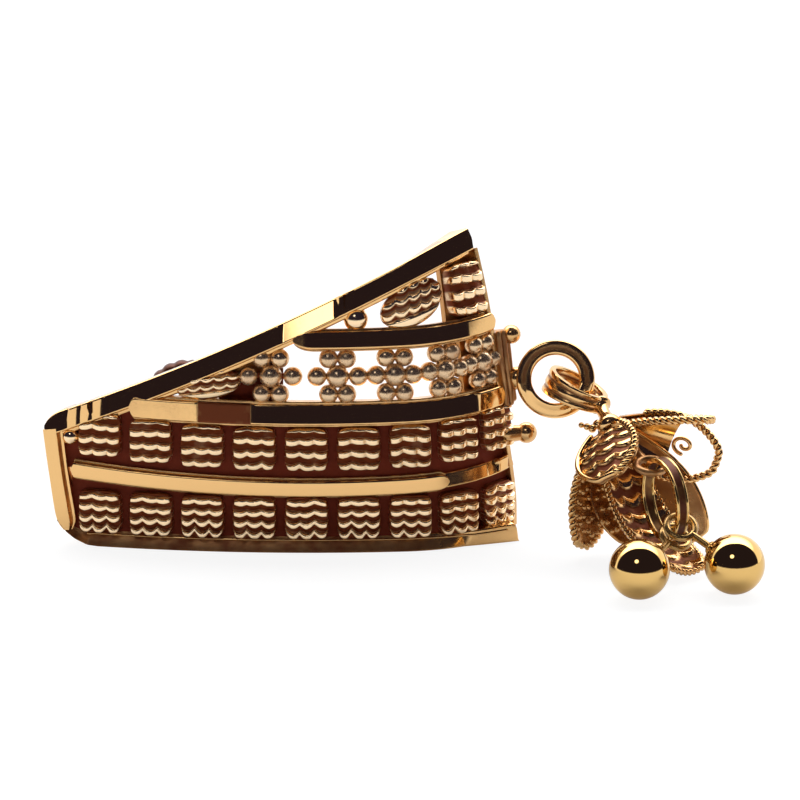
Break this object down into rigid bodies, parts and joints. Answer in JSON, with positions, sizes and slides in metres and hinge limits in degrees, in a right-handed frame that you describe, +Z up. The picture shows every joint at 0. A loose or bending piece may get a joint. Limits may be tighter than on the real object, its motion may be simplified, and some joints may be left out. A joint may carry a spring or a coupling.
{
  "type": "filigree drop earring",
  "caption": "Curved wedge-shaped gold ear plate with stamped squares, pierced grain flowers and a screw back, and a lying leaf-petal drop with two balls.",
  "frame": {"origin": "middle of the bounding box, on the surface that the earring stands on", "axes": "+X from the narrow end of the panel to the drop, +Y to the ear side, +Z up from the table"},
  "size_m": [0.0336, 0.0174, 0.0147],
  "materials": {
    "yellow_gold": "polished, with darker recesses in the stamped and granulated work",
    "polished_gold": "mirror polished"
  },
  "bodies": {
    "root": {"front_panel": "yellow_gold", "screw_nut": "polished_gold", "drop_cap": "yellow_gold", "lower_ring": "polished_gold", "ball_drop_1": "polished_gold", "ball_drop_2": "polished_gold"}
  },
  "joints": []
}
